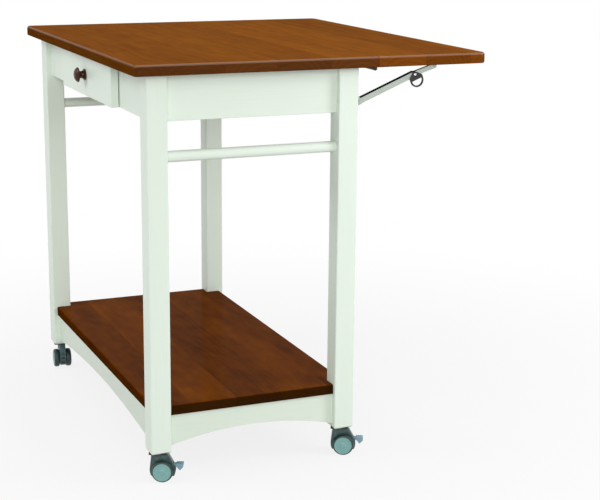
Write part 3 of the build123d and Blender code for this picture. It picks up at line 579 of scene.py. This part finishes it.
def channel_material(name, half_width):
    """Plated outside, the inside nearly black as painted shade, told apart by the distance from its
    middle plane.
    """
    inner_skin, outer_skin = 0.6 * millimetre, 0.2 * millimetre
    material = shaded_material(name, plated_steel, zinc_finish, turn=along_y, bump=0.06,
                               fixed={"Metallic": 0.8})
    tree = material.node_tree
    base_colour = tree.nodes["Principled BSDF"].inputs["Base Color"]
    plate_colour = base_colour.links[0].from_socket
    where = add_node(tree, "ShaderNodeTexCoord").outputs["Object"]
    from_cart_middle = maths(tree, "ABSOLUTE", split(tree, "ShaderNodeSeparateXYZ", where)["X"])
    aside = maths(tree, "ABSOLUTE", maths(tree, "SUBTRACT", from_cart_middle, arm_plane))
    outside = between(tree, aside, half_width - inner_skin, half_width - outer_skin)
    tree.links.new(blend_colours(tree, outside, inner_painted_shade, plate_colour), base_colour)
    return material


lower_channel = channel_material("lower_arm_plate", lower_half_width)
upper_channel = channel_material("upper_arm_plate", upper_half_width)
for end in ("left", "right"):
    dress(f"lower_arm_{end}", lower_channel)
    dress(f"upper_arm_{end}", upper_channel)
for node in ("bracket_bases", "base_pivots", "bracket_feet", "foot_pivots"):
    dress(node, zinc)
base_low, base_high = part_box("bracket_bases")
base_face = base_low.y + bracket_sheet
base_screws = [((sign * arm_plane, base_face, z), (0, 1, 0))
               for sign in (-1, 1) for z in (base_low.z + base_inset, base_high.z - base_inset)]
add_screws("bracket_base_screws", base_screws, base_head, "frame")
foot_low, foot_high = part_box("bracket_feet")
foot_face = foot_high.z - bracket_sheet
foot_middle = (foot_low.y + foot_high.y) / 2
foot_screws = [((sign * arm_plane, foot_middle + step, foot_face), (0, 0, -1))
               for sign in (-1, 1) for step in (-foot_step, foot_step)]
add_screws("bracket_foot_screws", foot_screws, foot_head, "leaf", sunk=True)

# Pull rings: flat black castings riveted to the knuckle of each bracket, with a D-shaped ring
# for one finger. The rivet's head is bright.
black_finish = {"Colour": (0.006, 0.007, 0.006, 1.0), "Worn": (0.016, 0.019, 0.017, 1.0),
                "Roughness": 0.45}
rivet_finish = {"Bright": (0.86, 0.88, 0.85, 1.0), "Dull": (0.66, 0.68, 0.66, 1.0),
                "Roughness": 0.22}
rivet_radius, rivet_height = 3.4 * millimetre, 1.6 * millimetre
knuckle_y, knuckle_z = 251.583 * millimetre, 865.976 * millimetre


def moulded_effect():
    """Moulded or cast surface: fine grained skin, slight clouding and paler rubbed patches."""
    group, given, out = new_group("moulded_skin", (
        ("Place", vector_socket, None), ("Colour", colour_socket, None),
        ("Worn", colour_socket, None), ("Roughness", number_socket, 0.4)), finish_outputs)
    grain = stretched_noise(group, given["Place"], stretch=(2600.0, 2600.0, 2600.0), detail=2)
    cloud = stretched_noise(group, given["Place"], stretch=(70.0, 70.0, 70.0), detail=3)
    patch = stretched_noise(group, given["Place"], stretch=(210.0, 210.0, 340.0), detail=4)
    clouded = between(group, cloud, low=0.3, high=0.7)
    wear_and_highlight = between(group, patch, low=0.56, high=0.74)
    amount = weighted_sum(group, (clouded, 0.35), (wear_and_highlight, 0.45))
    group.links.new(blend_colours(group, amount, given["Colour"], given["Worn"]), out["Colour"])
    rough = swing(group, cloud, weight=0.3)
    group.links.new(maths(group, "ADD", given["Roughness"], rough), out["Roughness"])
    group.links.new(grain, out["Height"])
    return group


moulded_skin = moulded_effect()
black_casting = shaded_material("black_casting", moulded_skin, black_finish, bump=0.12)
bright_rivet = shaded_material("bright_rivet", plated_steel, rivet_finish, bump=0.03,
                               fixed={"Metallic": 1.0})


def rivet_head(mesh, point, outward):
    """Domed head of a rivet with a small flat in the middle."""
    segments, steps, flat_begins = 24, 5, math.radians(72)
    leans = [step / (steps - 1) * flat_begins for step in range(steps)]
    profile = [(rivet_radius * math.cos(lean), rivet_height * math.sin(lean)) for lean in leans]
    _, rim = turned_head(mesh, point, outward, profile, segments)
    mesh.faces.new(rim)


for end, sign in (("left", -1), ("right", 1)):
    dress(f"arm_pull_{end}", black_casting)
    pull_low, pull_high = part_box(f"arm_pull_{end}")
    pull_face = pull_high.x if sign > 0 else pull_low.x
    mesh = bmesh.new()
    rivet_head(mesh, Vector((pull_face, knuckle_y, knuckle_z)), (sign, 0, 0))
    add_piece(f"knuckle_rivet_{end}", mesh, f"lower_arm_{end}", bright_rivet)

# Casters: twin-wheel swivel casters. A black steel plate with the swivel's stem is screwed under
# each leg, and a moulded blue-grey hood turns on it and carries two wheels on a steel axle.
hood_finish = {"Colour": (0.026, 0.064, 0.060, 1.0), "Worn": (0.130, 0.235, 0.235, 1.0),
               "Roughness": 0.32}
tyre_finish = {"Colour": (0.012, 0.030, 0.028, 1.0), "Worn": (0.024, 0.050, 0.046, 1.0),
               "Roughness": 0.46}
disc_finish = {"Colour": (0.205, 0.420, 0.400, 1.0), "Worn": (0.265, 0.485, 0.460, 1.0),
               "Roughness": 0.42}
plate_finish = {"Bright": (0.030, 0.032, 0.034, 1.0), "Dull": (0.014, 0.015, 0.016, 1.0),
                "Roughness": 0.45}
disc_radius = 19.9 * millimetre
plate_under = 63.5 * millimetre
plate_head, plate_screw_reach = (3.0 * millimetre, 1.4 * millimetre), 19.5 * millimetre
black_plate = shaded_material("black_plate", plated_steel, plate_finish, bump=0.08,
                              fixed={"Metallic": 0.6})
hood_plastic = shaded_material("hood_plastic", moulded_skin, hood_finish, bump=0.12)
tyre_plastic = shaded_material("tyre_plastic", moulded_skin, tyre_finish, bump=0.15)
disc_plastic = shaded_material("disc_plastic", moulded_skin, disc_finish, bump=0.10)
joints = {joint["child"]: joint for joint in frame["joints"]}
dress("caster_plates", black_plate)
plate_screws = []
for side in ("front", "back"):
    for end in ("left", "right"):
        place = f"{side}_{end}"
        dress(f"caster_hood_{place}", hood_plastic)
        dress(f"caster_axle_{place}", zinc)
        swivel_x, swivel_y, _ = joints[f"caster_{place}"]["pos_m"]
        plate_middle = Vector((swivel_x, swivel_y, plate_under))
        ahead = Vector(joints[f"wheel_{place}_inner"]["axis"])
        for quarter in range(4):
            corner = Matrix.Rotation((quarter + 0.5) * math.pi / 2, 3, "Z") @ ahead
            plate_screws.append((plate_middle + plate_screw_reach * corner, (0, 0, -1)))
        for wheel in ("inner", "outer"):
            node = f"caster_wheel_{place}_{wheel}"
            dress(node, tyre_plastic)
            nodes[node].data.materials.append(disc_plastic)
            joint = joints[f"wheel_{place}_{wheel}"]
            centre, axis = Vector(joint["pos_m"]), Vector(joint["axis"])
            for polygon in nodes[node].data.polygons:
                offset = polygon.center - centre
                from_axle = (offset - axis * offset.dot(axis)).length
                polygon.material_index = 1 if from_axle < disc_radius else 0
add_screws("caster_plate_screws", plate_screws, plate_head, "frame",
           material=black_plate)

# Brake pedals: moulded foot levers in the hoods of the two casters at the right end, pressed down
# to lock the wheels. Each has three ribs across its top for grip.
pedal_finish = {"Colour": (0.205, 0.355, 0.425, 1.0), "Worn": (0.270, 0.430, 0.500, 1.0),
                "Roughness": 0.42}
rib_reaches = (12.5 * millimetre, 17.0 * millimetre, 21.5 * millimetre)
rib_half_long, rib_half_wide = 7.2 * millimetre, 0.7 * millimetre
rib_rise, rib_lap = 0.6 * millimetre, 0.3 * millimetre
rib_crest = (0.95, 0.4)
rib_faces = ((3, 2, 1, 0), (4, 5, 6, 7), (0, 1, 5, 4), (1, 2, 6, 5), (2, 3, 7, 6), (3, 0, 4, 7))
pedal_plastic = shaded_material("pedal_plastic", moulded_skin, pedal_finish, bump=0.12)
for side in ("front", "back"):
    place = f"{side}_right"
    dress(f"brake_lever_{place}", pedal_plastic)
    joint = joints[f"brake_{place}"]
    along = Vector(joint["axis"])
    outward = Vector((along.y, -along.x, 0.0))
    pedal_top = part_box(f"brake_lever_{place}")[1].z
    mesh = bmesh.new()
    for reach in rib_reaches:
        middle = Vector(joint["pos_m"]) + outward * reach
        corners = []
        for (long_share, wide_share), level in (((1.0, 1.0), -rib_lap), (rib_crest, rib_rise)):
            for sign_long, sign_wide in ((-1, -1), (1, -1), (1, 1), (-1, 1)):
                spot = (middle + along * (sign_long * long_share * rib_half_long)
                        + outward * (sign_wide * wide_share * rib_half_wide))
                corners.append(mesh.verts.new((spot.x, spot.y, pedal_top + level)))
        for face in rib_faces:
            mesh.faces.new([corners[index] for index in face])
    add_piece(f"pedal_ribs_{place}", mesh, f"brake_{place}", pedal_plastic,
              smooth=False)

# Set: a pale floor and a white room round it, lit by large soft lamps from the camera's side, the
# right, the front and above. The floor keeps a light shadow and goes over to the room's white.
scene = bpy.context.scene
scene.view_settings.view_transform = "Standard"
floor_width, floor_level = 60.0, -0.2 * millimetre
floor_colour = (0.66, 0.66, 0.66, 1.0)
plain_white = (1.0, 1.0, 1.0, 1.0)
white_begins, white_is_full, least_white = 0.45, 1.9, 0.84
room_light = 0.40


def rays_that_show(tree):
    """1 for rays that show a backdrop as it is: straight to the camera, or by a mirror or glass."""
    paths = add_node(tree, "ShaderNodeLightPath").outputs
    by_glass = maths(tree, "MAXIMUM", paths["Is Glossy Ray"], paths["Is Transmission Ray"])
    return maths(tree, "MAXIMUM", paths["Is Camera Ray"], by_glass)


bpy.ops.mesh.primitive_plane_add(size=floor_width, location=(0, 0, floor_level))
floor = bpy.context.object
floor.name = "floor"
pale_floor = bpy.data.materials.new("pale_floor")
pale_floor.use_nodes = True
floor.data.materials.append(pale_floor)
tree = pale_floor.node_tree
matt = tree.nodes["Principled BSDF"]
matt.inputs["Base Color"].default_value = floor_colour
matt.inputs["Roughness"].default_value = 0.9
matt.inputs["Specular IOR Level"].default_value = 0.0
white = add_node(tree, "ShaderNodeEmission", {"Color": plain_white, "Strength": 1.0})
from_cart = add_node(tree, "ShaderNodeVectorMath", operation="LENGTH")
tree.links.new(add_node(tree, "ShaderNodeTexCoord").outputs["Object"], from_cart.inputs[0])
whiter = between(tree, from_cart.outputs["Value"], white_begins, white_is_full)
whiter = maths(tree, "ADD", maths(tree, "MULTIPLY", whiter, 1.0 - least_white), least_white)
fade = add_node(tree, "ShaderNodeMixShader")
tree.links.new(maths(tree, "MULTIPLY", whiter, rays_that_show(tree)), fade.inputs["Fac"])
tree.links.new(matt.outputs[0], fade.inputs[1])
tree.links.new(white.outputs[0], fade.inputs[2])
tree.links.new(fade.outputs[0], tree.nodes["Material Output"].inputs["Surface"])

room = bpy.data.worlds.new("soft_room")
room.use_nodes = True
scene.world = room
tree = room.node_tree
backdrop = tree.nodes["Background"]
backdrop.inputs["Color"].default_value = plain_white
strength = maths(tree, "MULTIPLY", rays_that_show(tree), 1.0 - room_light)
tree.links.new(maths(tree, "ADD", strength, room_light), backdrop.inputs["Strength"])

cart_middle = Vector((0.0, 0.0, 0.5))
for name, place, width, power in (("lamp_camera", (8.5, -3.6, 3.0), 3.0, 250.0),
                                  ("lamp_right", (1.6, 1.8, 1.6), 1.0, 28.0),
                                  ("lamp_front", (-0.3, -2.6, 2.4), 1.4, 26.0),
                                  ("lamp_above", (0.3, 0.2, 3.8), 3.0, 40.0)):
    soft_box = bpy.data.lights.new(name, "AREA")
    soft_box.shape = "SQUARE"
    soft_box.size = width
    soft_box.energy = power
    lamp = bpy.data.objects.new(name, soft_box)
    lamp.location = place
    lamp.rotation_euler = (cart_middle - Vector(place)).to_track_quat("-Z", "Y").to_euler()
    scene.collection.objects.link(lamp)

# Camera: at the photograph's place off the right end, a little above the worktop, tilted down to
# hold the whole cart in the middle of the frame. The lens is a plain centred one.
camera_data = bpy.data.cameras.new("camera")
camera = bpy.data.objects.new("camera", camera_data)
scene.collection.objects.link(camera)
scene.camera = camera
camera_data.sensor_width = 36.0
camera_data.lens = 87.88
camera_place = Vector((3.3180, -1.2529, 1.2495))
yaw, pitch, roll = 0.4038, 0.2379, 0.0091
ahead = Vector((-math.cos(yaw) * math.cos(pitch), math.sin(yaw) * math.cos(pitch),
                -math.sin(pitch)))
level_right = Vector((math.sin(yaw), math.cos(yaw), 0.0))
level_up = level_right.cross(ahead)
right = level_right * math.cos(roll) + level_up * math.sin(roll)
up = right.cross(ahead)
turned = Matrix((right, up, -ahead)).transposed().to_4x4()
camera.matrix_world = Matrix.Translation(camera_place) @ turned
